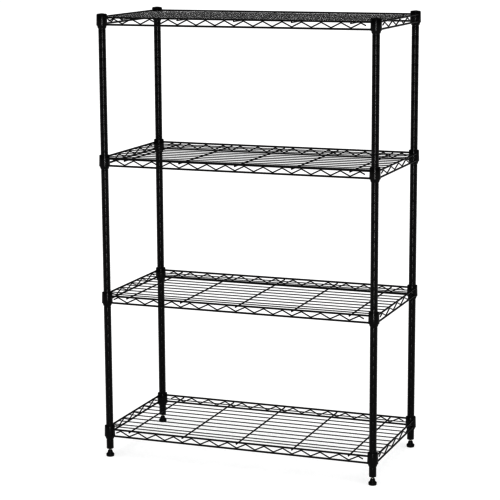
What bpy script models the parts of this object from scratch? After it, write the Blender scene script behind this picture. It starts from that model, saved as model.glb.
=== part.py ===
"""Four-tier wire shelving rack: grooved posts, clip-on sleeves, welded wire shelves and levelling feet.

The origin is on the floor at the middle of the rack, with +X along the shelves and -Y the front.
All sizes are in metres.
"""

import math

import bmesh
import bpy
from mathutils import Matrix, Vector

# Layout of the rack: post centre lines and the height of each shelf's top wire.
POST_SPACING_X = 0.768
POST_SPACING_Y = 0.370
LOWEST_TIER_Z = 0.080
TIER_PITCH = 0.381
TIER_COUNT = 4

# Clearances between pieces that touch, and between the halves of a sleeve.
CLEARANCE = 0.0003
SPLIT_GAP = 0.0004

# Posts: round tube with one V groove for the sleeve of each tier.
POST_RADIUS = 0.0095
POST_WALL = 0.0010
POST_BOTTOM_Z = 0.0238
POST_ABOVE_TIER = 0.0070
GROOVE_DEPTH = 0.0005
GROOVE_HALF_HEIGHT = 0.0013
GROOVE_BELOW_TIER = 0.0070

# Post caps: plug with a flange and a low dome.
CAP_PLUG_LENGTH = 0.010
CAP_FLANGE = 0.0009
CAP_DOME = 0.0021
CAP_DOME_RADIUS = 0.0065

# Sleeves: two tapered halves, thicker towards a shoulder under the collar, with a pointed lower end.
SLEEVE_TOP_WALL = 0.0019
SLEEVE_SHOULDER_WALL = 0.0030
SLEEVE_TIP_WALL = 0.0008
SLEEVE_SHOULDER_DROP = 0.0010
SLEEVE_ABOVE_TIER = 0.0091
SLEEVE_TIP_LENGTH = 0.0074

# Shelf corners: tapered steel collars wedged on the sleeves.
COLLAR_WALL = 0.0016
COLLAR_ABOVE_TIER = 0.0082
COLLAR_BELOW_WIRE = 0.0005

# Shelf edges: two edge wires with a zigzag wire between them, welded to the collars.
EDGE_INSIDE_POST = 0.0003
EDGE_WIRE = 0.0044
EDGE_WIRE_DROP = 0.0189
EDGE_DEPTH = 0.0035
EDGE_END_INSET = 0.0060
ZIGZAG_WIRE = 0.0028
ZIGZAG_PITCH_X = 0.0533
ZIGZAG_PITCH_Y = 0.0705
ZIGZAG_END_MARGIN = 0.0240
ZIGZAG_STUB = 0.5

# Shelf deck: thin lengthwise wires welded on thicker cross wires.
DECK_WIRE = 0.0022
DECK_PITCH = 0.0341
DECK_OUTER_STEP = 0.0245
DECK_OUTER_GAP = 0.0265
CROSS_WIRE = 0.0035
CROSS_EVERY = 3
CROSS_OVERHANG = 0.0009
WELD_SINK = 0.0003

# Levelling feet: threaded plug in the post, stud and bell-shaped pad.
INSERT_LENGTH = 0.0180
INSERT_FLANGE = 0.0011
STUD_RADIUS = 0.0030
STUD_LENGTH = 0.0335
STUD_NECK = 0.0050
PAD_FLOOR = 0.0070
PAD_RADIUS = 0.0108
PAD_EDGE = 0.0026
PAD_CHAMFER = 0.0007
PAD_TOP_RADIUS = 0.0058

SIDES = 12

CORNERS = {"fl": (-1, -1), "fr": (1, -1), "bl": (-1, 1), "br": (1, 1)}

POWDER_COAT = ("powder_coat_black", (0.012, 0.011, 0.012, 1.0), 0.34, 0.0)
SLEEVE_PLASTIC = ("sleeve_plastic_black", (0.014, 0.013, 0.014, 1.0), 0.45, 0.0)
FOOT_PLASTIC = ("foot_plastic_black", (0.012, 0.012, 0.012, 1.0), 0.40, 0.0)
ZINC = ("zinc_plated_steel", (0.62, 0.62, 0.60, 1.0), 0.30, 1.0)


def tier_height(tier):
    """Height of a shelf's top edge wire, counted from the lowest shelf."""
    return LOWEST_TIER_Z + tier * TIER_PITCH


def corner_position(corner):
    """Centre of a corner post in plan."""
    side_x, side_y = CORNERS[corner]
    return Vector((side_x * POST_SPACING_X / 2, side_y * POST_SPACING_Y / 2, 0.0))


def clear_scene():
    """Remove every object of the open scene."""
    for item in list(bpy.data.objects):
        bpy.data.objects.remove(item, do_unlink=True)


def make_material(spec):
    """Principled material from a name, colour, roughness and metallic value."""
    name, colour, roughness, metallic = spec
    material = bpy.data.materials.get(name)
    if material:
        return material
    material = bpy.data.materials.new(name)
    material.use_nodes = True
    shader = material.node_tree.nodes["Principled BSDF"]
    shader.inputs["Base Color"].default_value = colour
    shader.inputs["Roughness"].default_value = roughness
    shader.inputs["Metallic"].default_value = metallic
    material.diffuse_color = colour
    return material


def finish_mesh(bm, name, spec, sharp_angle=35.0):
    """Turn a bmesh into a mesh with its material, smooth across shallow angles."""
    bmesh.ops.recalc_face_normals(bm, faces=bm.faces)
    mesh = bpy.data.meshes.new(name)
    bm.to_mesh(mesh)
    bm.free()
    mesh.materials.append(make_material(spec))
    mesh.shade_smooth()
    mesh.set_sharp_from_angle(angle=math.radians(sharp_angle))
    return mesh


def place(name, mesh, location, turn=0.0):
    """Put a mesh in the scene as a named object."""
    item = bpy.data.objects.new(name, mesh)
    item.location = location
    item.rotation_euler = (0.0, 0.0, turn)
    bpy.context.scene.collection.objects.link(item)
    return item


def place_helper(name, mesh, location):
    """Put a mesh in the scene as the operand of a Boolean."""
    item = place(name, mesh, location)
    item.hide_render = True
    item.display_type = "WIRE"
    return item


def add_boolean(target, operand, operation):
    """Join an operand to an object, or cut it away."""
    modifier = target.modifiers.new(operand.name, "BOOLEAN")
    modifier.operation = operation
    modifier.solver = "EXACT"
    modifier.object = operand


def turned(profile, closed=False):
    """Body of revolution about Z. A closed profile makes a ring, an open one starts and ends on the axis."""
    bm = bmesh.new()
    points = [bm.verts.new((radius, 0.0, z)) for radius, z in profile]
    edges = [bm.edges.new(pair) for pair in zip(points, points[1:])]
    if closed:
        edges.append(bm.edges.new((points[-1], points[0])))
    bmesh.ops.spin(
        bm,
        geom=points + edges,
        cent=(0.0, 0.0, 0.0),
        axis=(0.0, 0.0, 1.0),
        angle=math.tau,
        steps=SIDES,
    )
    bmesh.ops.remove_doubles(bm, verts=bm.verts, dist=1e-6)
    return bm


def halved(bm):
    """Keep the back half of a ring, short of its middle plane by half the split gap."""
    geometry = list(bm.verts) + list(bm.edges) + list(bm.faces)
    bmesh.ops.bisect_plane(
        bm,
        geom=geometry,
        plane_co=(0.0, SPLIT_GAP / 2, 0.0),
        plane_no=(0.0, 1.0, 0.0),
        clear_inner=True,
    )
    bmesh.ops.holes_fill(bm, edges=bm.edges)
    return bm


def box(bm, low, high):
    """Add a box between two corners."""
    low = Vector(low)
    high = Vector(high)
    size = high - low
    placing = Matrix.Translation((low + high) / 2) @ Matrix.Diagonal((size.x, size.y, size.z, 1.0))
    bmesh.ops.create_cube(bm, size=1.0, matrix=placing)


def post_top():
    """Height of the top rim of a post."""
    return tier_height(TIER_COUNT - 1) + POST_ABOVE_TIER


def post_mesh():
    """Tube with a groove for each tier."""
    outer = [(POST_RADIUS, POST_BOTTOM_Z)]
    for tier in range(TIER_COUNT):
        middle = tier_height(tier) - GROOVE_BELOW_TIER
        outer.append((POST_RADIUS, middle - GROOVE_HALF_HEIGHT))
        outer.append((POST_RADIUS - GROOVE_DEPTH, middle))
        outer.append((POST_RADIUS, middle + GROOVE_HALF_HEIGHT))
    outer.append((POST_RADIUS, post_top()))
    inside = POST_RADIUS - POST_WALL
    profile = outer + [(inside, post_top()), (inside, POST_BOTTOM_Z)]
    return finish_mesh(turned(profile, closed=True), "post", POWDER_COAT)


def cap_mesh():
    """Cap with its plug inside the post's top end. Its own zero height is the post's rim."""
    plug = POST_RADIUS - POST_WALL - CLEARANCE
    dome_base = CLEARANCE + CAP_FLANGE
    profile = [
        (0.0, -CAP_PLUG_LENGTH),
        (plug, -CAP_PLUG_LENGTH),
        (plug, CLEARANCE),
        (POST_RADIUS, CLEARANCE),
        (POST_RADIUS, dome_base),
        (CAP_DOME_RADIUS, dome_base + 0.72 * CAP_DOME),
        (0.0, dome_base + CAP_DOME),
    ]
    return finish_mesh(turned(profile), "cap", FOOT_PLASTIC)


def insert_mesh():
    """Threaded plug in the post's bottom end. Its own zero height is the post's rim."""
    plug = POST_RADIUS - POST_WALL - CLEARANCE
    bore = STUD_RADIUS + CLEARANCE
    profile = [
        (bore, INSERT_LENGTH),
        (plug, INSERT_LENGTH),
        (plug, -CLEARANCE),
        (POST_RADIUS, -CLEARANCE),
        (POST_RADIUS, -CLEARANCE - INSERT_FLANGE),
        (bore, -CLEARANCE - INSERT_FLANGE),
    ]
    return finish_mesh(turned(profile, closed=True), "insert", FOOT_PLASTIC)


def pad_height():
    """Top of a foot pad: the stud's bare neck lies between it and the insert."""
    return POST_BOTTOM_Z - CLEARANCE - INSERT_FLANGE - STUD_NECK


def pad_mesh():
    """Bell-shaped foot pad with a socket for the stud."""
    top = pad_height()
    socket = STUD_RADIUS + CLEARANCE
    waist = PAD_TOP_RADIUS + 0.22 * (PAD_RADIUS - PAD_TOP_RADIUS)
    profile = [
        (0.0, 0.0),
        (PAD_RADIUS - PAD_CHAMFER, 0.0),
        (PAD_RADIUS, PAD_CHAMFER),
        (PAD_RADIUS, PAD_EDGE),
        (waist, 0.62 * top),
        (PAD_TOP_RADIUS, top),
        (socket, top),
        (socket, PAD_FLOOR),
        (0.0, PAD_FLOOR),
    ]
    return finish_mesh(turned(profile), "foot_pad", FOOT_PLASTIC, 50.0)


def stud_mesh():
    """Plain stud from the pad's socket up into the insert's bore."""
    bottom = PAD_FLOOR + CLEARANCE
    profile = [
        (0.0, bottom),
        (STUD_RADIUS, bottom),
        (STUD_RADIUS, bottom + STUD_LENGTH),
        (0.0, bottom + STUD_LENGTH),
    ]
    return finish_mesh(turned(profile), "foot_stud", ZINC)


def collar_bottom():
    """Height of a collar's lower rim, just under the bottom edge wires, counted from its tier."""
    return -EDGE_WIRE_DROP - EDGE_WIRE / 2 - COLLAR_BELOW_WIRE


def sleeve_shoulder():
    """Height of a sleeve's widest place, just under the collar, counted from its tier."""
    return collar_bottom() - SLEEVE_SHOULDER_DROP


def sleeve_outer(z):
    """Outer radius of a sleeve above its shoulder, at a height counted from its tier."""
    bore = POST_RADIUS + CLEARANCE
    share = (z - sleeve_shoulder()) / (SLEEVE_ABOVE_TIER - sleeve_shoulder())
    return bore + SLEEVE_SHOULDER_WALL + share * (SLEEVE_TOP_WALL - SLEEVE_SHOULDER_WALL)


def sleeve_mesh():
    """Half of a tapered sleeve, with the ridge that sits in the post's groove."""
    bore = POST_RADIUS + CLEARANCE
    low = collar_bottom() - SLEEVE_TIP_LENGTH
    high = SLEEVE_ABOVE_TIER
    profile = [
        (bore, low),
        (bore, -GROOVE_BELOW_TIER - GROOVE_HALF_HEIGHT),
        (bore - GROOVE_DEPTH, -GROOVE_BELOW_TIER),
        (bore, -GROOVE_BELOW_TIER + GROOVE_HALF_HEIGHT),
        (bore, high),
        (sleeve_outer(high), high),
        (sleeve_outer(sleeve_shoulder()), sleeve_shoulder()),
        (bore + SLEEVE_TIP_WALL, low),
    ]
    return finish_mesh(halved(turned(profile, closed=True)), "sleeve", SLEEVE_PLASTIC)


def collar_bore(z):
    """Inner radius of a collar at a height counted from its tier."""
    return sleeve_outer(z) + CLEARANCE


def four_corners(profile, name):
    """The same turned body at each of the four corners, in one mesh."""
    joined = bmesh.new()
    for corner in CORNERS:
        piece = turned(profile)
        piece.transform(Matrix.Translation(corner_position(corner)))
        scratch = bpy.data.meshes.new("scratch")
        piece.to_mesh(scratch)
        piece.free()
        joined.from_mesh(scratch)
        bpy.data.meshes.remove(scratch)
    return finish_mesh(joined, name, POWDER_COAT)


def collar_blank_mesh():
    """Solid cones that become the four collars."""
    low = collar_bottom()
    high = COLLAR_ABOVE_TIER
    profile = [
        (0.0, low),
        (collar_bore(low) + COLLAR_WALL, low),
        (collar_bore(high) + COLLAR_WALL, high),
        (0.0, high),
    ]
    return four_corners(profile, "collar_blanks")


def collar_cutter_mesh():
    """Cones that open the four collars, running past both of their ends."""
    low = collar_bottom() - COLLAR_WALL
    high = COLLAR_ABOVE_TIER + COLLAR_WALL
    profile = [(0.0, low), (collar_bore(low), low), (collar_bore(high), high), (0.0, high)]
    return four_corners(profile, "collar_cutters")


def zigzag_run(height, pitch):
    """Sideways run of a zigzag leg between the edge wires, and the leg's own width sideways."""
    run = pitch / 2
    for _ in range(20):
        run = pitch / 2 - ZIGZAG_WIRE / math.sin(math.atan2(height, run))
    return run, pitch / 2 - run


def zigzag_peaks(half_length, pitch, peak_in_middle):
    """Places of the top bends of a zigzag wire."""
    shift = 0.0 if peak_in_middle else 0.5
    count = math.floor((half_length - ZIGZAG_END_MARGIN) / pitch - shift)
    last = count + shift
    return [(index - last) * pitch for index in range(round(2 * last) + 1)]


def edge_openings(half_length, pitch, peak_in_middle):
    """Openings of one shelf edge around its zigzag wire, seen square on, as loops of (along, up)."""
    under_top = -EDGE_WIRE / 2
    over_bottom = -EDGE_WIRE_DROP + EDGE_WIRE / 2
    run, width = zigzag_run(under_top - over_bottom, pitch)
    peaks = zigzag_peaks(half_length, pitch, peak_in_middle)
    last = peaks[-1]
    drop = ZIGZAG_STUB * (under_top - over_bottom)
    past_end = half_length + EDGE_END_INSET
    right = [
        (past_end, over_bottom),
        (past_end, under_top),
        (last + width, under_top),
        (last + ZIGZAG_STUB * run + width, under_top - drop),
        (last + ZIGZAG_STUB * run, under_top - drop),
        (last, under_top),
        (last - run, over_bottom),
    ]
    left = [(-along, up) for along, up in reversed(right)]
    openings = [right, left]
    for first, second in zip(peaks, peaks[1:]):
        middle = (first + second) / 2
        openings.append([(middle - run, under_top), (middle, over_bottom), (middle + run, under_top)])
    for peak in peaks[1:-1]:
        openings.append([(peak - run, over_bottom), (peak, under_top), (peak + run, over_bottom)])
    return openings


def add_openings(bm, half_length, pitch, peak_in_middle, placing):
    """Add the prisms that open one shelf edge, running past both of its faces."""
    for loop in edge_openings(half_length, pitch, peak_in_middle):
        front = [bm.verts.new(placing @ Vector((along, -EDGE_DEPTH, up))) for along, up in loop]
        back = [bm.verts.new(placing @ Vector((along, EDGE_DEPTH, up))) for along, up in loop]
        bm.faces.new(front)
        bm.faces.new(list(reversed(back)))
        for index in range(len(loop)):
            after = (index + 1) % len(loop)
            bm.faces.new((front[after], front[index], back[index], back[after]))


def edge_offset():
    """Distance of the edge wires' axes from the posts' axes."""
    return POST_RADIUS - EDGE_INSIDE_POST


def edge_place_x():
    """Distance of the left and right edges from the rack's middle."""
    return POST_SPACING_X / 2 + edge_offset()


def edge_place_y():
    """Distance of the front and back edges from the rack's middle."""
    return POST_SPACING_Y / 2 + edge_offset()


def edge_placings():
    """Each edge's half length, zigzag pitch, kind of middle bend and place."""
    half_x = POST_SPACING_X / 2 - EDGE_END_INSET
    half_y = POST_SPACING_Y / 2 - EDGE_END_INSET
    quarter = Matrix.Rotation(math.pi / 2, 4, "Z")
    edges = []
    for side in (-1, 1):
        across = Matrix.Translation((0.0, side * edge_place_y(), 0.0))
        along = Matrix.Translation((side * edge_place_x(), 0.0, 0.0)) @ quarter
        edges.append((half_x, ZIGZAG_PITCH_X, False, across))
        edges.append((half_y, ZIGZAG_PITCH_Y, True, along))
    return edges


def edge_blank_mesh():
    """Plates that become the four edges of a shelf."""
    bm = bmesh.new()
    for half_length, _, _, placing in edge_placings():
        height = EDGE_WIRE_DROP + EDGE_WIRE
        shape = Matrix.Diagonal((2 * half_length, EDGE_DEPTH, height, 1.0))
        middle = Matrix.Translation((0.0, 0.0, -EDGE_WIRE_DROP / 2))
        bmesh.ops.create_cube(bm, size=1.0, matrix=placing @ middle @ shape)
    return finish_mesh(bm, "shelf_edges", POWDER_COAT)


def edge_opening_mesh():
    """Everything that is cut out of the four plates around their zigzag wires."""
    bm = bmesh.new()
    for half_length, pitch, peak_in_middle, placing in edge_placings():
        add_openings(bm, half_length, pitch, peak_in_middle, placing)
    return finish_mesh(bm, "edge_openings", POWDER_COAT)


def cross_height():
    """Height of the cross wires' centres, under the top edge wires."""
    return -EDGE_WIRE / 2 - CLEARANCE - CROSS_WIRE / 2


def deck_height():
    """Height of the lengthwise wires' centres, sunk into the cross wires at the welds."""
    return cross_height() + CROSS_WIRE / 2 + DECK_WIRE / 2 - WELD_SINK


def deck_rows():
    """Places of the lengthwise wires from front to back."""
    reach = edge_place_y() - DECK_OUTER_GAP - DECK_OUTER_STEP
    count = math.floor(reach / DECK_PITCH)
    rows = [index * DECK_PITCH for index in range(-count, count + 1)]
    return [rows[0] - DECK_OUTER_STEP] + rows + [rows[-1] + DECK_OUTER_STEP]


def cross_rows():
    """Places of the cross wires: every few bottom bends of the front zigzag, from the middle out."""
    half_x = POST_SPACING_X / 2 - EDGE_END_INSET
    peaks = zigzag_peaks(half_x, ZIGZAG_PITCH_X, False)
    count = round(peaks[-1] / ZIGZAG_PITCH_X - 0.5) // CROSS_EVERY
    return [index * CROSS_EVERY * ZIGZAG_PITCH_X for index in range(-count, count + 1)]


def lengthwise_mesh():
    """Thin wires that carry the load, from the left edge to the right edge."""
    bm = bmesh.new()
    reach = edge_place_x() - EDGE_DEPTH / 2 - CLEARANCE
    half = DECK_WIRE / 2
    for row in deck_rows():
        low = (-reach, row - half, deck_height() - half)
        high = (reach, row + half, deck_height() + half)
        box(bm, low, high)
    return finish_mesh(bm, "shelf_deck", POWDER_COAT)


def cross_mesh():
    """Cross wires under the lengthwise ones, ending just past the front and back edges."""
    bm = bmesh.new()
    reach = edge_place_y() + EDGE_DEPTH / 2 + CROSS_OVERHANG
    half = CROSS_WIRE / 2
    for row in cross_rows():
        low = (row - half, -reach, cross_height() - half)
        high = (row + half, reach, cross_height() + half)
        box(bm, low, high)
    return finish_mesh(bm, "cross_wires", POWDER_COAT)


def build_posts():
    """Posts with their caps, inserts, studs and pads."""
    post = post_mesh()
    cap = cap_mesh()
    insert = insert_mesh()
    stud = stud_mesh()
    pad = pad_mesh()
    for corner in CORNERS:
        base = corner_position(corner)
        place(f"post_{corner}", post, base)
        place(f"post_cap_{corner}", cap, base + Vector((0.0, 0.0, post_top())))
        place(f"foot_insert_{corner}", insert, base + Vector((0.0, 0.0, POST_BOTTOM_Z)))
        place(f"foot_stud_{corner}", stud, base)
        place(f"foot_pad_{corner}", pad, base)


def build_sleeves():
    """Two sleeve halves at each corner of each tier."""
    sleeve = sleeve_mesh()
    for tier in range(TIER_COUNT):
        for corner in CORNERS:
            base = corner_position(corner) + Vector((0.0, 0.0, tier_height(tier)))
            place(f"sleeve_{tier + 1}_{corner}_back", sleeve, base)
            place(f"sleeve_{tier + 1}_{corner}_front", sleeve, base, math.pi)


def build_shelves():
    """A welded frame and deck on each tier."""
    edges = edge_blank_mesh()
    openings = edge_opening_mesh()
    blanks = collar_blank_mesh()
    cutters = collar_cutter_mesh()
    lengthwise = lengthwise_mesh()
    cross = cross_mesh()
    for tier in range(TIER_COUNT):
        base = Vector((0.0, 0.0, tier_height(tier)))
        frame = place(f"shelf_{tier + 1}_frame", edges, base)
        add_boolean(frame, place_helper(f"edge_openings_{tier + 1}", openings, base), "DIFFERENCE")
        add_boolean(frame, place_helper(f"collar_blanks_{tier + 1}", blanks, base), "UNION")
        add_boolean(frame, place_helper(f"collar_cutters_{tier + 1}", cutters, base), "DIFFERENCE")
        deck = place(f"shelf_{tier + 1}_deck", lengthwise, base)
        add_boolean(deck, place_helper(f"cross_wires_{tier + 1}", cross, base), "UNION")


def main():
    """Build the rack."""
    clear_scene()
    build_posts()
    build_sleeves()
    build_shelves()


main()
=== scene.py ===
"""Looks of a four-tier wire shelving rack.

It has grooved posts, clip-on sleeves, welded wire shelves and levelling feet. Everything is in metres,
in the frame of the CAD model. The meshes are built here, around the boxes of the CAD nodes.
"""

import math

import bmesh
import bpy
from mathutils import Matrix, Vector


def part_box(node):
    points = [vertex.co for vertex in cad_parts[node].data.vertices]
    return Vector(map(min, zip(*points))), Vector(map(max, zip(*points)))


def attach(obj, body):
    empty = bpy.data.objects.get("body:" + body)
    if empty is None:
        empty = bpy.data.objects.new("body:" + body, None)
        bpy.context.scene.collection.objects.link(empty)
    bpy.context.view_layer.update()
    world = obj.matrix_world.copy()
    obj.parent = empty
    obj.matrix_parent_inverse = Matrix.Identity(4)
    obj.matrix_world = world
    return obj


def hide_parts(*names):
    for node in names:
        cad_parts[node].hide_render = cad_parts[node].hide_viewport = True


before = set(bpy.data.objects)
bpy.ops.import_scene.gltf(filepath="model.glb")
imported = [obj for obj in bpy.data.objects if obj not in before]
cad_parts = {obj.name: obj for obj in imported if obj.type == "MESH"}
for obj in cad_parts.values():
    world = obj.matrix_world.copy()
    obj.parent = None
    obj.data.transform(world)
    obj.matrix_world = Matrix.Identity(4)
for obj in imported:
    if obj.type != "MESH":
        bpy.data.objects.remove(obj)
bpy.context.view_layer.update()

TIERS = (1, 2, 3, 4)
CORNERS = ("fl", "fr", "bl", "br")
DECK_KINDS = ("deck_wires", "cross_wires")
WIRE_KINDS = ("edges", *DECK_KINDS)

# Posts. Grooves repeat at one pitch, and every sleeve holds on to one. The groove's flank is given from
# its middle outwards, as shares of its half height and of its full depth.
POST_WALL = 0.0010
GROOVE_PITCH = 0.0254
GROOVE_BELOW_TIER = 0.0070
GROOVE_DEPTH = 0.00042
GROOVE_HALF_HEIGHT = 0.0011
GROOVE_FLANK = ((0.40, 0.62), (0.72, 0.12), (1.0, 0.0))
RIM_ROUNDING = 0.0004

# Caps on the posts.
CAP_PLUG = 0.0100
CAP_GAP = 0.0003
CAP_FLANGE = 0.0009
CAP_DOME = 0.0021
CAP_RIM_ROUNDING = 0.0002
CAP_PLUG_TAPER = 0.0006

# Sleeves, in two halves.
CLEARANCE = 0.0003
SPLIT_GAP = 0.0004
SLEEVE_TOP_WALL = 0.0019
SLEEVE_SHOULDER_WALL = 0.0030
SLEEVE_TIP_WALL = 0.0008
SLEEVE_SHOULDER_DROP = 0.0010
SLEEVE_SHOULDER_ROUNDING = 0.0008
SLEEVE_BORE_ROUNDING = 0.0002
SLEEVE_ABOVE_TIER = 0.0091
SLEEVE_BELOW_TIER = 0.0290

# Collars at the shelf corners.
COLLAR_WALL = 0.0016
COLLAR_ABOVE_TIER = 0.0082
COLLAR_BELOW_TIER = 0.0216
COLLAR_ROUNDING = 0.00045

# Shelf edges: two wires and a zigzag between them.
EDGE_OFFSET = 0.0092
EDGE_RADIUS = 0.0022
EDGE_DROP = 0.0189
EDGE_END_STEP = 0.004
ZIGZAG_RADIUS = 0.0014
ZIGZAG_PITCH_X = 0.0533
ZIGZAG_PITCH_Y = 0.0705
ZIGZAG_HALF_COUNT_X = 6.5
ZIGZAG_HALF_COUNT_Y = 2
ZIGZAG_BEND = 0.0032
ZIGZAG_SINK = 0.0004
ZIGZAG_STUB = 0.5

# Deck: thin lengthwise wires on thicker cross wires.
DECK_RADIUS = 0.0011
DECK_PITCH = 0.0341
DECK_HALF_COUNT = 4
DECK_OUTER_STEP = 0.0245
CROSS_RADIUS = 0.00175
CROSS_STEP = 3 * ZIGZAG_PITCH_X
CROSS_HALF_COUNT = 2
CROSS_OVERHANG = 0.0026
DECK_SINK = 0.0003
EDGE_BITE = 0.0008
DECK_WELD_INSET = 0.9 * EDGE_RADIUS

# Welds: half sizes along, out from and up from a shelf edge, and along X, Y and Z in the deck.
BEND_WELD = (0.0031, 0.0015, 0.00075)
COLLAR_WELD = (0.0030, 0.0027, 0.0028)
DECK_END_WELD = (0.0011, 0.0015, 0.0012)
DECK_WELD = (0.0015, 0.0016, 0.0006)
CROSS_WELD = (0.0021, 0.0019, 0.0007)

# Levelling feet.
INSERT_LENGTH = 0.0180
INSERT_FLANGE = 0.0011
INSERT_GAP = 0.0003
INSERT_TAPER_WIDTH = 0.0007
INSERT_TAPER_HEIGHT = 0.0015
INSERT_INSET = 0.0001
INSERT_ROUNDING = 0.0009
INSERT_RECESS = 0.0004
INSERT_RECESS_REACH = 0.0018
STUD_RADIUS = 0.0030
THREAD_PITCH = 0.0010
THREAD_DEPTH = 0.00055
THREAD_ROOT = 0.10
THREAD_FLANK = 0.72
THREAD_FADE = 1.2 * THREAD_PITCH
PAD_FLOOR = 0.0070
PAD_BASE = 0.0078
PAD_CONE_RADIUS = 0.0078
PAD_TOP_RADIUS = 0.0058

# Softened edges of moulded parts: distances inwards and from the face that the edge is on.
PAD_FOOT_EDGE = ((0.0013, 0.0), (0.0006, 0.0002), (0.0002, 0.0008))
PAD_SHOULDER_EDGE = ((0.0, 0.0016), (0.0003, 0.0008), (0.0010, 0.0002), (0.0018, 0.0))
PAD_CONE_FOOT = ((-0.0002, 0.0004), (0.0002, 0.0012))
PAD_TOP_EDGE = ((-0.0003, 0.0028), (0.0002, 0.0013), (0.0008, 0.0004), (0.0016, 0.0))
SLEEVE_TOP_EDGE = ((0.0005, 0.0), (0.0001, 0.0002), (0.0, 0.0006))
SLEEVE_TIP_EDGE = ((-0.0003, 0.0008), (0.0, 0.0003), (0.0003, 0.0))

# How finely round things are divided.
ROUND_SIDES = 48
WIRE_SIDES = 14
THREAD_SIDES = 24
THREAD_ROWS_PER_TURN = 8
DOME_STEP = 10
COLLAR_STEPS = 3
BEND_STEPS = 6

# How a cut wire end is rounded: distance from the end and radius, both as shares of the wire's radius.
END_ROUNDING = ((0.0, 0.55), (0.10, 0.80), (0.28, 0.95), (0.55, 1.0))

# A bend takes up to this share of the shorter side next to it. Half of a corner's angle is at most this,
# or the corner counts as straight and stays as it is.
BEND_SHARE = 0.45
FLAT_HALF_ANGLE = math.radians(89.0)

# Noise of a piece is moved by up to this much, so that no two pieces match.
SEED_SPREAD = 40.0

# Surroundings: white to the camera and dim to the rack.
VIEW_GAMMA = 0.50
WORLD_SEEN = 1.02
WORLD_GIVEN = 0.18
FLOOR_HALF_SIZE = 60.0
FLOOR_GLOW = 0.74

# Lights. The strip stands in front of the rack, and the panel hangs behind it.
OVERHEAD_PLACE = (0.5, -1.0, 4.0)
OVERHEAD_STRENGTH = 3.0
OVERHEAD_ANGLE = 80.0
STRIP_DISTANCE = 2.6
STRIP_STRENGTH = 40.0
STRIP_WIDTH = 0.36
STRIP_HEIGHT = 1.5
PANEL_DISTANCE = 2.2
PANEL_HEIGHT = 2.75
PANEL_WIDTH = 3.5
PANEL_DEPTH = 4.2
PANEL_STRENGTH = 480.0

# Camera: angles in degrees, lens and sensor in millimetres.
CAMERA_PLACE = (1.711, -4.590, 1.491)
CAMERA_AZIMUTH = 20.79
CAMERA_PITCH = -10.55
CAMERA_ROLL = -0.28
CAMERA_LENS = 129.5
CAMERA_REACH = 200.0
SENSOR_WIDTH = 36.0


def tier_height(tier):
    """Height of the axis of a shelf's top edge wires."""
    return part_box(f"shelf_{tier}_frame")[1].z - COLLAR_ABOVE_TIER


def corner_place(corner):
    """Middle of a post in plan."""
    low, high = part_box(f"post_{corner}")
    return Vector(((low.x + high.x) / 2, (low.y + high.y) / 2, 0.0))


def post_radius():
    """Outer radius of the posts."""
    low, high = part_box("post_fl")
    return (high.x - low.x) / 2


HALF_X = corner_place("br").x
HALF_Y = corner_place("br").y
POST_RADIUS = post_radius()
EDGE_X = HALF_X + EDGE_OFFSET
EDGE_Y = HALF_Y + EDGE_OFFSET
CROSS_Z = -EDGE_RADIUS - CLEARANCE - CROSS_RADIUS
DECK_Z = CROSS_Z + CROSS_RADIUS + DECK_RADIUS - DECK_SINK


# ---------------------------------------------------------------- meshes


def finish_mesh(bm, name, material, sharp_angle=38.0):
    """Mesh from a bmesh, with outward normals, smooth across shallow angles."""
    bmesh.ops.recalc_face_normals(bm, faces=bm.faces)
    mesh = bpy.data.meshes.new(name)
    bm.to_mesh(mesh)
    bm.free()
    mesh.materials.append(material)
    mesh.shade_smooth()
    mesh.set_sharp_from_angle(angle=math.radians(sharp_angle))
    return mesh


def show(name, mesh, place, body, nodes, turn=0.0):
    """Piece from a mesh that rides on a body and stands for CAD nodes."""
    piece = bpy.data.objects.new(name, mesh)
    piece.location = place
    piece.rotation_euler = (0.0, 0.0, turn)
    bpy.context.scene.collection.objects.link(piece)
    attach(piece, body)
    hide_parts(*nodes)


def turned(profile, closed=False):
    """Body of revolution about Z. A closed profile makes a ring, an open one has its ends on the axis."""
    bm = bmesh.new()
    points = [bm.verts.new((radius, 0.0, z)) for radius, z in profile]
    edges = [bm.edges.new(pair) for pair in zip(points, points[1:])]
    if closed:
        edges.append(bm.edges.new((points[-1], points[0])))
    bmesh.ops.spin(
        bm,
        geom=points + edges,
        cent=(0.0, 0.0, 0.0),
        axis=(0.0, 0.0, 1.0),
        angle=math.tau,
        steps=ROUND_SIDES,
    )
    bmesh.ops.remove_doubles(bm, verts=bm.verts, dist=2e-6)
    return bm


def rounded_ring(profile, radius, steps):
    """Closed profile of (radius, height) points with its corners rounded."""
    points = [Vector((along, 0.0, up)) for along, up in profile]
    path = rounded_path(points, radius, steps, closed=True)
    return [(point.x, point.z) for point in path]


def rounded_path(points, radius, steps, closed=False):
    """Polyline with every bend replaced by an arc."""
    count = len(points)
    path = []
    for index, point in enumerate(points):
        if not closed and index in (0, count - 1):
            path.append(point.copy())
            continue
        path.extend(bend_arc(points[index - 1], point, points[(index + 1) % count], radius, steps))
    return path


def bend_arc(before, corner, after, radius, steps):
    """Points of the arc that rounds one corner, no longer than the shorter side allows."""
    first = before - corner
    second = after - corner
    reach = BEND_SHARE * min(first.length, second.length)
    first.normalize()
    second.normalize()
    half = math.acos(max(-1.0, min(1.0, first.dot(second)))) / 2
    if half > FLAT_HALF_ANGLE:
        return [corner.copy()]
    setback = min(radius / math.tan(half), reach)
    fitted = setback * math.tan(half)
    centre = corner + (first + second).normalized() * (fitted / math.sin(half))
    start = (corner + first * setback - centre).normalized()
    end = (corner + second * setback - centre).normalized()
    return [centre + start.slerp(end, step / steps) * fitted for step in range(steps + 1)]


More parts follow.
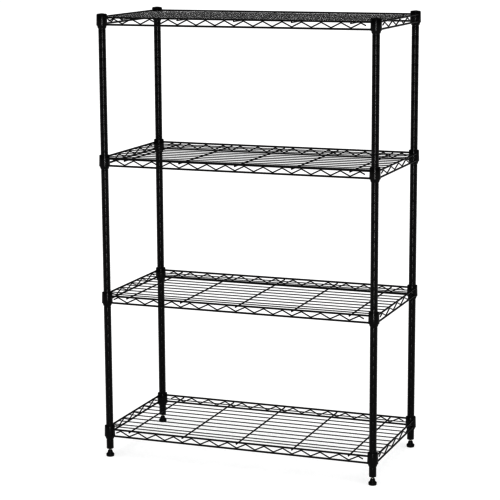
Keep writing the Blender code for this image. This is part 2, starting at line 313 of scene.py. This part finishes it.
def add_ring(bm, centre, across, up, radius):
    """Ring of vertices around a wire's axis."""
    ring = []
    for side in range(WIRE_SIDES):
        angle = math.tau * side / WIRE_SIDES
        ring.append(bm.verts.new(centre + radius * (math.cos(angle) * across + math.sin(angle) * up)))
    return ring


def skin(bm, rings):
    """Close the tube through a row of rings."""
    for first, second in zip(rings, rings[1:]):
        for side in range(len(first)):
            after = (side + 1) % len(first)
            bm.faces.new((first[side], first[after], second[after], second[side]))
    bm.faces.new(list(reversed(rings[0])))
    bm.faces.new(rings[-1])


def add_wire(bm, path, radius, normal):
    """Round wire along a flat path, with rounded cut ends. The normal is square to the path's plane."""
    start = (path[1] - path[0]).normalized()
    end = (path[-2] - path[-1]).normalized()
    stations = [(path[0] + start * share * radius, scale) for share, scale in END_ROUNDING]
    stations += [(point, 1.0) for point in path[1:-1]]
    stations += [(path[-1] + end * share * radius, scale) for share, scale in reversed(END_ROUNDING)]
    places = [place for place, _ in stations]
    rings = []
    for index, (place, scale) in enumerate(stations):
        ahead = places[min(index + 1, len(places) - 1)] - place
        behind = place - places[max(index - 1, 0)]
        tangent = (ahead.normalized() + behind.normalized()).normalized()
        rings.append(add_ring(bm, place, tangent.cross(normal), normal, radius * scale))
    skin(bm, rings)


def add_bead(bm, centre, radii):
    """Weld: a small lump with its own half size along each axis."""
    made = bmesh.ops.create_icosphere(bm, subdivisions=2, radius=1.0)
    for vert in made["verts"]:
        vert.co = Vector(part * radius for part, radius in zip(vert.co, radii)) + centre


# ---------------------------------------------------------------- posts


def groove_heights(bottom, top):
    """Heights of a post's grooves."""
    first = tier_height(1) - GROOVE_BELOW_TIER
    below = math.floor((first - bottom - 2 * GROOVE_HALF_HEIGHT) / GROOVE_PITCH)
    height = first - below * GROOVE_PITCH
    heights = []
    while height < top - 2 * GROOVE_HALF_HEIGHT:
        heights.append(height)
        height += GROOVE_PITCH
    return heights


def post_mesh(material):
    """Steel tube with rolled grooves and softened rims."""
    low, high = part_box("post_fl")
    bottom = low.z
    top = high.z
    rim = ((RIM_ROUNDING, 0.0), (0.3 * RIM_ROUNDING, 0.3 * RIM_ROUNDING), (0.0, RIM_ROUNDING))
    below = [(-up, depth) for up, depth in reversed(GROOVE_FLANK)]
    groove = below + [(0.0, 1.0)] + list(GROOVE_FLANK)
    outer = [(POST_RADIUS - inwards, bottom + up) for inwards, up in rim]
    for middle in groove_heights(bottom, top):
        for up, depth in groove:
            outer.append((POST_RADIUS - GROOVE_DEPTH * depth, middle + GROOVE_HALF_HEIGHT * up))
    outer += [(POST_RADIUS - inwards, top - down) for inwards, down in reversed(rim)]
    inside = POST_RADIUS - POST_WALL
    profile = outer + [(inside, top), (inside, bottom)]
    return finish_mesh(turned(profile, closed=True), "post", material, sharp_angle=55.0)


def cap_mesh(material):
    """Cap whose plug is in the post and whose dome closes it. Its own zero height is the post's rim."""
    plug = POST_RADIUS - POST_WALL - CLEARANCE
    base = CAP_GAP + CAP_FLANGE
    dome = [
        (POST_RADIUS * math.cos(turn), base + CAP_DOME * math.sin(turn))
        for turn in (math.radians(degrees) for degrees in range(DOME_STEP, 90, DOME_STEP))
    ]
    profile = [
        (0.0, -CAP_PLUG),
        (plug - CAP_PLUG_TAPER, -CAP_PLUG),
        (plug, -CAP_PLUG + 2 * CAP_PLUG_TAPER),
        (plug, CAP_GAP),
        (POST_RADIUS - CAP_RIM_ROUNDING, CAP_GAP),
        (POST_RADIUS, CAP_GAP + CAP_RIM_ROUNDING),
        (POST_RADIUS, base),
    ]
    return finish_mesh(turned(profile + dome + [(0.0, base + CAP_DOME)]), "cap", material)


# ---------------------------------------------------------------- feet


def insert_mesh(material):
    """Plug in the post's lower end, with a rounded flange. Its own zero height is the post's rim."""
    plug = POST_RADIUS - POST_WALL - CLEARANCE
    bore = STUD_RADIUS + CLEARANCE
    rim = POST_RADIUS - INSERT_INSET
    low = -INSERT_GAP - INSERT_FLANGE
    profile = [
        (bore, INSERT_LENGTH),
        (plug - INSERT_TAPER_WIDTH, INSERT_LENGTH),
        (plug, INSERT_LENGTH - INSERT_TAPER_HEIGHT),
        (plug, -INSERT_GAP),
        (rim, -INSERT_GAP),
        (rim, low + 0.6 * INSERT_FLANGE),
        (rim - INSERT_ROUNDING / 3, low + 0.2 * INSERT_FLANGE),
        (rim - INSERT_ROUNDING, low),
        (bore + INSERT_RECESS_REACH + INSERT_RECESS, low),
        (bore + INSERT_RECESS_REACH, low + INSERT_RECESS),
        (bore + INSERT_RECESS, low + INSERT_RECESS),
        (bore, low + 2 * INSERT_RECESS),
    ]
    return finish_mesh(turned(profile, closed=True), "insert", material)


def thread_radius(height, turn, bottom, top):
    """Radius of the stud's thread at a height and an angle. The crests fade out at both ends."""
    share = (height / THREAD_PITCH - turn / math.tau) % 1.0
    rise = 1.0 - abs(2.0 * share - 1.0)
    crest = min(1.0, max(0.0, (rise - THREAD_ROOT) / THREAD_FLANK))
    end = min(1.0, (height - bottom) / THREAD_FADE, (top - height) / THREAD_FADE)
    return STUD_RADIUS - THREAD_DEPTH * (1.0 - crest * max(0.0, end))


def stud_mesh(material):
    """Threaded stud of a foot, in its real place above the floor."""
    low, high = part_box("foot_stud_fl")
    count = round((high.z - low.z) / (THREAD_PITCH / THREAD_ROWS_PER_TURN))
    bm = bmesh.new()
    rings = []
    for row in range(count + 1):
        height = low.z + (high.z - low.z) * row / count
        ring = []
        for side in range(THREAD_SIDES):
            turn = math.tau * side / THREAD_SIDES
            radius = thread_radius(height, turn, low.z, high.z)
            ring.append(bm.verts.new((radius * math.cos(turn), radius * math.sin(turn), height)))
        rings.append(ring)
    skin(bm, rings)
    return finish_mesh(bm, "foot_stud", material, sharp_angle=60.0)


def pad_mesh(material):
    """Foot pad: a low round base with a cone on it, and a socket for the stud."""
    low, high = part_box("foot_pad_fl")
    radius = (high.x - low.x) / 2
    top = high.z
    socket = STUD_RADIUS + CLEARANCE
    base = [(radius - inwards, up) for inwards, up in PAD_FOOT_EDGE]
    base.append((radius, 0.4 * PAD_BASE))
    base += [(radius - inwards, PAD_BASE - down) for inwards, down in PAD_SHOULDER_EDGE]
    cone = [(PAD_CONE_RADIUS - inwards, PAD_BASE + up) for inwards, up in PAD_CONE_FOOT]
    cone += [(PAD_TOP_RADIUS - inwards, top - down) for inwards, down in PAD_TOP_EDGE]
    profile = [(0.0, 0.0)] + base + cone + [(socket, top), (socket, PAD_FLOOR), (0.0, PAD_FLOOR)]
    return finish_mesh(turned(profile), "foot_pad", material, sharp_angle=45.0)


# ---------------------------------------------------------------- sleeves and collars


def sleeve_shoulder():
    """Height of a sleeve's widest place, counted from its tier."""
    return -COLLAR_BELOW_TIER - SLEEVE_SHOULDER_DROP


def sleeve_outer(height):
    """Outer radius of a sleeve above its shoulder."""
    share = (height - sleeve_shoulder()) / (SLEEVE_ABOVE_TIER - sleeve_shoulder())
    wall = SLEEVE_SHOULDER_WALL + share * (SLEEVE_TOP_WALL - SLEEVE_SHOULDER_WALL)
    return POST_RADIUS + CLEARANCE + wall


def collar_outer(height):
    """Outer radius of a collar."""
    return sleeve_outer(height) + CLEARANCE + COLLAR_WALL


def sleeve_mesh(material):
    """Back half of a sleeve, with the ridge that sits in the post's groove and softened edges."""
    bore = POST_RADIUS + CLEARANCE
    groove = -GROOVE_BELOW_TIER
    shoulder = sleeve_shoulder()
    widest = sleeve_outer(shoulder)
    soft = SLEEVE_SHOULDER_ROUNDING
    low = -SLEEVE_BELOW_TIER
    high = SLEEVE_ABOVE_TIER
    inside = [
        (bore, low + SLEEVE_BORE_ROUNDING),
        (bore, groove - GROOVE_HALF_HEIGHT),
        (bore - GROOVE_DEPTH, groove),
        (bore, groove + GROOVE_HALF_HEIGHT),
        (bore, high - SLEEVE_BORE_ROUNDING),
        (bore + 1.5 * SLEEVE_BORE_ROUNDING, high),
    ]
    outside = [(sleeve_outer(high) - inwards, high - down) for inwards, down in SLEEVE_TOP_EDGE]
    outside += [
        (sleeve_outer(shoulder + soft), shoulder + soft),
        (widest - soft / 8, shoulder + soft / 4),
        (widest - 5 * soft / 8, shoulder - soft / 2),
    ]
    outside += [(bore + SLEEVE_TIP_WALL - inwards, low + up) for inwards, up in SLEEVE_TIP_EDGE]
    profile = inside + outside + [(bore + SLEEVE_BORE_ROUNDING, low)]
    bm = turned(profile, closed=True)
    geometry = list(bm.verts) + list(bm.edges) + list(bm.faces)
    bmesh.ops.bisect_plane(
        bm,
        geom=geometry,
        plane_co=(0.0, SPLIT_GAP / 2, 0.0),
        plane_no=(0.0, 1.0, 0.0),
        clear_inner=True,
    )
    bmesh.ops.holes_fill(bm, edges=bm.edges)
    return finish_mesh(bm, "sleeve", material, sharp_angle=50.0)


def add_collar(bm, corner):
    """Tapered steel collar with softened rims at one corner of a shelf."""
    low = -COLLAR_BELOW_TIER
    high = COLLAR_ABOVE_TIER
    profile = [
        (collar_outer(low) - COLLAR_WALL, low),
        (collar_outer(low), low),
        (collar_outer(high), high),
        (collar_outer(high) - COLLAR_WALL, high),
    ]
    piece = turned(rounded_ring(profile, COLLAR_ROUNDING, COLLAR_STEPS), closed=True)
    piece.transform(Matrix.Translation(corner_place(corner)))
    scratch = bpy.data.meshes.new("scratch")
    piece.to_mesh(scratch)
    piece.free()
    bm.from_mesh(scratch)
    bpy.data.meshes.remove(scratch)


def collars_mesh(material):
    """The four collars of a shelf."""
    bm = bmesh.new()
    for corner in CORNERS:
        add_collar(bm, corner)
    return finish_mesh(bm, "collars", material, sharp_angle=50.0)


# ---------------------------------------------------------------- shelf edges


def edge_places():
    """Each shelf edge: half spacing of its posts, zigzag pitch and half count, and its place.

    An edge lies along its own X and faces outwards along its own Y.
    """
    long_edge = (HALF_X, ZIGZAG_PITCH_X, ZIGZAG_HALF_COUNT_X)
    short_edge = (HALF_Y, ZIGZAG_PITCH_Y, ZIGZAG_HALF_COUNT_Y)
    spin = {side: Matrix.Rotation(math.radians(side), 4, "Z") for side in (0, 90, 180, 270)}
    return [
        (*long_edge, Matrix.Translation((0.0, EDGE_Y, 0.0)) @ spin[0]),
        (*long_edge, Matrix.Translation((0.0, -EDGE_Y, 0.0)) @ spin[180]),
        (*short_edge, Matrix.Translation((-EDGE_X, 0.0, 0.0)) @ spin[90]),
        (*short_edge, Matrix.Translation((EDGE_X, 0.0, 0.0)) @ spin[270]),
    ]


def add_edge_wire(bm, half_spacing, height, place):
    """Straight edge wire whose ends are cut to the round of the collars and end inside their walls."""
    wall = collar_outer(height) - COLLAR_WALL / 2
    rings = []
    for side, insets in ((-1, (0.0, EDGE_END_STEP)), (1, (EDGE_END_STEP, 0.0))):
        for inset in insets:
            ring = []
            for index in range(WIRE_SIDES):
                angle = math.tau * index / WIRE_SIDES
                out = EDGE_RADIUS * math.cos(angle)
                up = EDGE_RADIUS * math.sin(angle)
                reach = half_spacing - math.sqrt(wall**2 - (EDGE_OFFSET + out) ** 2) - inset
                ring.append(bm.verts.new(place @ Vector((side * reach, out, height + up))))
            rings.append(ring)
    skin(bm, rings)


def zigzag_corners(pitch, half_count):
    """Corners of a zigzag wire's path before its bends are rounded."""
    top = -EDGE_RADIUS - ZIGZAG_RADIUS + ZIGZAG_SINK
    bottom = -EDGE_DROP - top
    half_angle = math.atan2(pitch / 2, top - bottom)
    spare = ZIGZAG_BEND * (1 / math.sin(half_angle) - 1)
    top += spare
    bottom -= spare
    count = round(2 * half_count) + 1
    peaks = [(index - half_count) * pitch for index in range(count)]
    corners = []
    for index, peak in enumerate(peaks):
        corners.append(Vector((peak, 0.0, top)))
        if index + 1 < count:
            corners.append(Vector((peak + pitch / 2, 0.0, bottom)))
    drop = Vector((ZIGZAG_STUB * pitch / 2, 0.0, ZIGZAG_STUB * (bottom - top)))
    mirrored = Vector((-drop.x, 0.0, drop.z))
    return [corners[0] + mirrored] + corners + [corners[-1] + drop]


def add_zigzag(bm, pitch, half_count, place):
    """Zigzag wire of one edge, with a weld where each bend touches an edge wire."""
    corners = zigzag_corners(pitch, half_count)
    path = [place @ point for point in rounded_path(corners, ZIGZAG_BEND, BEND_STEPS)]
    normal = place.to_3x3() @ Vector((0.0, 1.0, 0.0))
    add_wire(bm, path, ZIGZAG_RADIUS, normal)
    for corner in corners[1:-1]:
        upper = corner.z > -EDGE_DROP / 2
        height = -EDGE_RADIUS if upper else -EDGE_DROP + EDGE_RADIUS
        add_weld(bm, place, Vector((corner.x, 0.0, height)), BEND_WELD)


def add_weld(bm, place, centre, radii):
    """Weld of an edge, given in the edge's own frame."""
    turned_sideways = abs(place[0][0]) < 0.5
    size = (radii[1], radii[0], radii[2]) if turned_sideways else radii
    add_bead(bm, place @ centre, size)


def add_collar_welds(bm, half_spacing, height, place):
    """Welds where an edge wire meets the collars."""
    reach = half_spacing - math.sqrt(collar_outer(height) ** 2 - EDGE_OFFSET**2)
    for side in (-1, 1):
        add_weld(bm, place, Vector((side * reach, 0.0, height)), COLLAR_WELD)


def edge_mesh(material):
    """All the wires around one shelf."""
    bm = bmesh.new()
    for half_spacing, pitch, half_count, place in edge_places():
        for height in (0.0, -EDGE_DROP):
            add_edge_wire(bm, half_spacing, height, place)
            add_collar_welds(bm, half_spacing, height, place)
        add_zigzag(bm, pitch, half_count, place)
    return finish_mesh(bm, "edge_wires", material, sharp_angle=50.0)


# ---------------------------------------------------------------- decks


def deck_rows():
    """Places of the lengthwise wires from front to back."""
    rows = [index * DECK_PITCH for index in range(-DECK_HALF_COUNT, DECK_HALF_COUNT + 1)]
    return [rows[0] - DECK_OUTER_STEP] + rows + [rows[-1] + DECK_OUTER_STEP]


def cross_rows():
    """Places of the cross wires from left to right."""
    return [index * CROSS_STEP for index in range(-CROSS_HALF_COUNT, CROSS_HALF_COUNT + 1)]


def deck_mesh(material):
    """Lengthwise wires, welded to the end wires at both ends."""
    bm = bmesh.new()
    reach = EDGE_X - EDGE_RADIUS + EDGE_BITE
    stops = [-reach] + cross_rows() + [reach]
    for row in deck_rows():
        path = [Vector((stop, row, DECK_Z)) for stop in stops]
        add_wire(bm, path, DECK_RADIUS, Vector((0.0, 0.0, 1.0)))
        for side in (-1, 1):
            add_bead(bm, Vector((side * (EDGE_X - DECK_WELD_INSET), row, DECK_Z)), DECK_END_WELD)
    return finish_mesh(bm, "deck_wires", material, sharp_angle=50.0)


def cross_mesh(material):
    """Cross wires under the lengthwise ones, with the welds on them."""
    bm = bmesh.new()
    reach = EDGE_Y + CROSS_OVERHANG
    for column in cross_rows():
        path = [Vector((column, end, CROSS_Z)) for end in (-reach, -reach / 2, reach / 2, reach)]
        add_wire(bm, path, CROSS_RADIUS, Vector((0.0, 0.0, 1.0)))
        for row in deck_rows():
            add_bead(bm, Vector((column, row, CROSS_Z + CROSS_RADIUS)), DECK_WELD)
        for side in (-1, 1):
            add_bead(bm, Vector((column, side * EDGE_Y, -EDGE_RADIUS - CLEARANCE / 2)), CROSS_WELD)
    return finish_mesh(bm, "cross_wires", material, sharp_angle=50.0)


# ---------------------------------------------------------------- materials


def add_node(tree, kind, **inputs):
    """Shader node whose inputs are set to values or linked to sockets. Underscores stand for spaces."""
    made = tree.nodes.new(kind)
    for name, value in inputs.items():
        socket = made.inputs[name.replace("_", " ")]
        if isinstance(value, bpy.types.NodeSocket):
            tree.links.new(value, socket)
        else:
            socket.default_value = value
    return made


def noise(tree, vector, seed, scale, detail=3.0, roughness=0.55):
    """Noise that differs from piece to piece."""
    made = tree.nodes.new("ShaderNodeTexNoise")
    made.noise_dimensions = "4D"
    tree.links.new(vector, made.inputs["Vector"])
    tree.links.new(seed, made.inputs["W"])
    made.inputs["Scale"].default_value = scale
    made.inputs["Detail"].default_value = detail
    made.inputs["Roughness"].default_value = roughness
    return made.outputs["Fac"]


def remap(tree, value, from_low, from_high, to_low, to_high):
    """Value stretched from one range to another."""
    made = add_node(
        tree,
        "ShaderNodeMapRange",
        Value=value,
        From_Min=from_low,
        From_Max=from_high,
        To_Min=to_low,
        To_Max=to_high,
    )
    return made.outputs["Result"]


def blend_colours(tree, share, first, second):
    """Colour between two colours."""
    made = tree.nodes.new("ShaderNodeMix")
    made.data_type = "RGBA"
    tree.links.new(share, made.inputs["Factor"])
    colours = {"A": first, "B": second}
    for socket in made.inputs:
        if socket.type == "RGBA":
            socket.default_value = (*colours[socket.name], 1.0)
    return next(socket for socket in made.outputs if socket.type == "RGBA")


def bumped(tree, height, distance, strength, under=None):
    """Normal from a height, on top of another normal."""
    made = add_node(tree, "ShaderNodeBump", Height=height, Distance=distance, Strength=strength)
    if under:
        tree.links.new(under, made.inputs["Normal"])
    return made.outputs["Normal"]


def begin_material(name):
    """New principled material with object coordinates and a number that differs from piece to piece."""
    material = bpy.data.materials.new(name)
    material.use_nodes = True
    tree = material.node_tree
    shader = tree.nodes["Principled BSDF"]
    place = tree.nodes.new("ShaderNodeTexCoord").outputs["Object"]
    chance = tree.nodes.new("ShaderNodeObjectInfo").outputs["Random"]
    seed = remap(tree, chance, 0.0, 1.0, 0.0, SEED_SPREAD)
    return material, tree, shader, place, seed


def powder_coat(name):
    """Glossy black powder coat with a slight orange-peel skin, faint clouding and a fine grain."""
    material, tree, shader, place, seed = begin_material(name)
    clouds = noise(tree, place, seed, scale=45.0, detail=4.0)
    wear = noise(tree, place, seed, scale=120.0, detail=5.0, roughness=0.6)
    peel = noise(tree, place, seed, scale=620.0, detail=2.0, roughness=0.4)
    grain = noise(tree, place, seed, scale=3200.0, detail=2.0, roughness=0.5)
    dark = (0.0052, 0.0048, 0.0052)
    light = (0.0105, 0.0096, 0.0102)
    colour = blend_colours(tree, remap(tree, clouds, 0.35, 0.68, 0.0, 1.0), dark, light)
    skin_normal = bumped(tree, peel, distance=0.00001, strength=0.1)
    normal = bumped(tree, grain, distance=0.000004, strength=0.15, under=skin_normal)
    tree.links.new(colour, shader.inputs["Base Color"])
    tree.links.new(remap(tree, wear, 0.3, 0.7, 0.21, 0.30), shader.inputs["Roughness"])
    tree.links.new(normal, shader.inputs["Normal"])
    shader.inputs["Specular IOR Level"].default_value = 0.38
    shader.inputs["Coat Weight"].default_value = 0.12
    shader.inputs["Coat Roughness"].default_value = 0.18
    return material


def moulded_plastic(name, dark, light, rough, grain_scale, grain_height):
    """Black moulded plastic with a fine spark-eroded grain and faint flow streaks along its height."""
    material, tree, shader, place, seed = begin_material(name)
    stretch = add_node(tree, "ShaderNodeMapping", Vector=place, Scale=(1.0, 1.0, 0.22))
    streaks = noise(tree, stretch.outputs["Vector"], seed, scale=260.0)
    grain = noise(tree, place, seed, grain_scale, detail=2.0, roughness=0.6)
    colour = blend_colours(tree, remap(tree, streaks, 0.35, 0.65, 0.0, 1.0), dark, light)
    tree.links.new(colour, shader.inputs["Base Color"])
    tree.links.new(remap(tree, grain, 0.3, 0.7, *rough), shader.inputs["Roughness"])
    tree.links.new(bumped(tree, grain, grain_height, strength=0.5), shader.inputs["Normal"])
    shader.inputs["Specular IOR Level"].default_value = 0.38
    return material


def zinc_plate(name):
    """Bright zinc with the faint blue and straw tints of its passivation and fine turning marks."""
    material, tree, shader, place, seed = begin_material(name)
    tint = noise(tree, place, seed, scale=320.0)
    stretch = add_node(tree, "ShaderNodeMapping", Vector=place, Scale=(0.2, 0.2, 3.0))
    marks = noise(tree, stretch.outputs["Vector"], seed, scale=1500.0, detail=2.0)
    blue = (0.60, 0.63, 0.67)
    straw = (0.72, 0.69, 0.60)
    colour = blend_colours(tree, remap(tree, tint, 0.35, 0.65, 0.0, 1.0), blue, straw)
    tree.links.new(colour, shader.inputs["Base Color"])
    tree.links.new(remap(tree, marks, 0.3, 0.7, 0.20, 0.38), shader.inputs["Roughness"])
    tree.links.new(bumped(tree, marks, distance=0.00002, strength=0.4), shader.inputs["Normal"])
    shader.inputs["Metallic"].default_value = 1.0
    return material


# ---------------------------------------------------------------- the rack


def show_posts(coat, cap_plastic, foot_plastic, zinc):
    """Posts with their caps and levelling feet."""
    post = post_mesh(coat)
    cap = cap_mesh(cap_plastic)
    insert = insert_mesh(foot_plastic)
    stud = stud_mesh(zinc)
    pad = pad_mesh(foot_plastic)
    low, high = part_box("post_fl")
    rim_top = Vector((0.0, 0.0, high.z))
    rim_bottom = Vector((0.0, 0.0, low.z))
    for corner in CORNERS:
        base = corner_place(corner)
        foot = f"foot_{corner}"
        show(f"grooved_post_{corner}", post, base, "uprights", [f"post_{corner}"])
        show(f"domed_cap_{corner}", cap, base + rim_top, "uprights", [f"post_cap_{corner}"])
        insert_node = f"foot_insert_{corner}"
        show(f"plug_{corner}", insert, base + rim_bottom, "uprights", [insert_node])
        show(f"threaded_stud_{corner}", stud, base, foot, [f"foot_stud_{corner}"])
        show(f"bell_foot_{corner}", pad, base, foot, [f"foot_pad_{corner}"])


def show_sleeves(plastic):
    """Two sleeve halves at each corner of each tier."""
    half = sleeve_mesh(plastic)
    for tier in TIERS:
        for corner in CORNERS:
            base = corner_place(corner) + Vector((0.0, 0.0, tier_height(tier)))
            for side, turn in (("back", 0.0), ("front", math.pi)):
                node = f"sleeve_{tier}_{corner}_{side}"
                piece = f"clip_{tier}_{corner}_{side}"
                show(piece, half, base, "uprights", [node], turn)


def show_shelves(coat):
    """The welded wires and collars of each tier."""
    parts = {
        "edges": (edge_mesh(coat), "frame"),
        "collars": (collars_mesh(coat), "frame"),
        "deck_wires": (deck_mesh(coat), "deck"),
        "cross_wires": (cross_mesh(coat), "deck"),
    }
    for tier in TIERS:
        base = Vector((0.0, 0.0, tier_height(tier)))
        for name, (mesh, node) in parts.items():
            shown = f"tier_{tier}_{name}"
            show(shown, mesh, base, f"shelf_{tier}", [f"shelf_{tier}_{node}"])


# ---------------------------------------------------------------- the studio


def floor_material():
    """Plain pale floor with a glow of its own, so that shadows on it stay faint."""
    material = bpy.data.materials.new("studio_floor")
    material.use_nodes = True
    tree = material.node_tree
    shader = tree.nodes["Principled BSDF"]
    place = tree.nodes.new("ShaderNodeTexCoord").outputs["Object"]
    cloud = add_node(tree, "ShaderNodeTexNoise", Vector=place, Scale=0.6).outputs["Fac"]
    colour = blend_colours(tree, cloud, (0.30, 0.30, 0.30), (0.32, 0.32, 0.32))
    tree.links.new(colour, shader.inputs["Base Color"])
    shader.inputs["Roughness"].default_value = 0.9
    shader.inputs["Specular IOR Level"].default_value = 0.0
    shader.inputs["Emission Color"].default_value = (1.0, 1.0, 1.0, 1.0)
    shader.inputs["Emission Strength"].default_value = FLOOR_GLOW
    return material


def build_floor():
    """Large plane under the feet."""
    bm = bmesh.new()
    bmesh.ops.create_grid(bm, x_segments=8, y_segments=8, size=FLOOR_HALF_SIZE)
    mesh = bpy.data.meshes.new("floor")
    bm.to_mesh(mesh)
    bm.free()
    mesh.materials.append(floor_material())
    floor = bpy.data.objects.new("floor", mesh)
    bpy.context.scene.collection.objects.link(floor)
    return floor


def build_world():
    """White surroundings for the camera and dimmer ones for the light that they give."""
    world = bpy.data.worlds.new("studio")
    world.use_nodes = True
    tree = world.node_tree
    tree.nodes.clear()
    path = tree.nodes.new("ShaderNodeLightPath")
    seen = add_node(tree, "ShaderNodeBackground", Color=(1.0, 1.0, 1.0, 1.0), Strength=WORLD_SEEN)
    given = add_node(tree, "ShaderNodeBackground", Color=(0.98, 0.98, 1.0, 1.0), Strength=WORLD_GIVEN)
    mix = tree.nodes.new("ShaderNodeMixShader")
    output = tree.nodes.new("ShaderNodeOutputWorld")
    tree.links.new(path.outputs["Is Camera Ray"], mix.inputs[0])
    tree.links.new(given.outputs[0], mix.inputs[1])
    tree.links.new(seen.outputs[0], mix.inputs[2])
    tree.links.new(mix.outputs[0], output.inputs["Surface"])
    bpy.context.scene.world = world


def add_light(name, kind, strength, place, target, **settings):
    """Light aimed at a target, which no camera sees directly."""
    lamp = bpy.data.lights.new(name, kind)
    lamp.energy = strength
    for setting, value in settings.items():
        setattr(lamp, setting, value)
    light = bpy.data.objects.new(name, lamp)
    light.location = place
    light.rotation_euler = (Vector(target) - Vector(place)).to_track_quat("-Z", "Y").to_euler()
    light.visible_camera = False
    bpy.context.scene.collection.objects.link(light)
    return light


def light_group(name, members, state):
    """Group of objects that a light is kept to or kept off."""
    group = bpy.data.collections.new(name)
    for member in members:
        group.objects.link(member)
    for entry in group.collection_objects:
        entry.light_linking.link_state = state
    return group


def add_softbox(name, degrees, distance, height, aim, size, strength, group):
    """Rectangular light at an azimuth, aimed at a height on the rack's axis, for a group of objects."""
    azimuth = math.radians(degrees)
    place = Vector((math.sin(azimuth) * distance, -math.cos(azimuth) * distance, height))
    light = add_light(
        name,
        "AREA",
        strength,
        place,
        (0.0, 0.0, aim),
        shape="RECTANGLE",
        size=size[0],
        size_y=size[1],
    )
    light.light_linking.receiver_collection = group


def build_lights(floor):
    """Wide overhead light, an upright strip in front, and a panel behind for the top shelf's sheen.

    The strip leaves out the wires, which would break up into specks of its glare, and the floor.
    """
    spread = math.radians(OVERHEAD_ANGLE)
    add_light("overhead", "SUN", OVERHEAD_STRENGTH, OVERHEAD_PLACE, (0.0, 0.0, 0.0), angle=spread)

    wires = [bpy.data.objects[f"tier_{tier}_{kind}"] for tier in TIERS for kind in WIRE_KINDS]
    spared = light_group("spared", [floor] + wires, "EXCLUDE")
    size = (STRIP_WIDTH, STRIP_HEIGHT)
    middle = STRIP_HEIGHT / 2
    add_softbox("front_strip", CAMERA_AZIMUTH, STRIP_DISTANCE, middle, middle, size, STRIP_STRENGTH, spared)

    top = max(TIERS, key=tier_height)
    top_wires = [bpy.data.objects[f"tier_{top}_{kind}"] for kind in DECK_KINDS]
    top_deck = light_group("top_deck", top_wires, "INCLUDE")
    size = (PANEL_WIDTH, PANEL_DEPTH)
    behind = CAMERA_AZIMUTH + 180.0
    aim = tier_height(top)
    add_softbox("back_panel", behind, PANEL_DISTANCE, PANEL_HEIGHT, aim, size, PANEL_STRENGTH, top_deck)


def build_camera():
    """Camera in front of the rack, to its right and above it."""
    data = bpy.data.cameras.new("camera")
    data.lens = CAMERA_LENS
    data.sensor_width = SENSOR_WIDTH
    data.clip_end = CAMERA_REACH
    camera = bpy.data.objects.new("camera", data)
    heading = Matrix.Rotation(math.radians(CAMERA_AZIMUTH), 4, "Z")
    tilt = Matrix.Rotation(math.radians(90.0 + CAMERA_PITCH), 4, "X")
    roll = Matrix.Rotation(math.radians(CAMERA_ROLL), 4, "Z")
    camera.matrix_world = Matrix.Translation(CAMERA_PLACE) @ heading @ tilt @ roll
    bpy.context.scene.collection.objects.link(camera)
    bpy.context.scene.camera = camera


def build_studio():
    """Floor, surroundings, lights and camera, and how light is shown as colour."""
    floor = build_floor()
    build_world()
    build_lights(floor)
    build_camera()
    bpy.context.scene.view_settings.view_transform = "Standard"
    bpy.context.scene.view_settings.gamma = VIEW_GAMMA


def main():
    """Build the rack and the studio around it."""
    coat = powder_coat("powder_coat")
    cap_plastic = moulded_plastic(
        "cap_plastic",
        dark=(0.006, 0.006, 0.006),
        light=(0.011, 0.011, 0.011),
        rough=(0.30, 0.42),
        grain_scale=1800.0,
        grain_height=0.00002,
    )
    sleeve_plastic = moulded_plastic(
        "sleeve_plastic",
        dark=(0.008, 0.008, 0.008),
        light=(0.014, 0.0135, 0.014),
        rough=(0.42, 0.58),
        grain_scale=1400.0,
        grain_height=0.00005,
    )
    foot_plastic = moulded_plastic(
        "foot_plastic",
        dark=(0.007, 0.007, 0.007),
        light=(0.012, 0.012, 0.012),
        rough=(0.34, 0.48),
        grain_scale=1600.0,
        grain_height=0.00003,
    )
    zinc = zinc_plate("zinc_plate")
    show_posts(coat, cap_plastic, foot_plastic, zinc)
    show_sleeves(sleeve_plastic)
    show_shelves(coat)
    build_studio()


main()
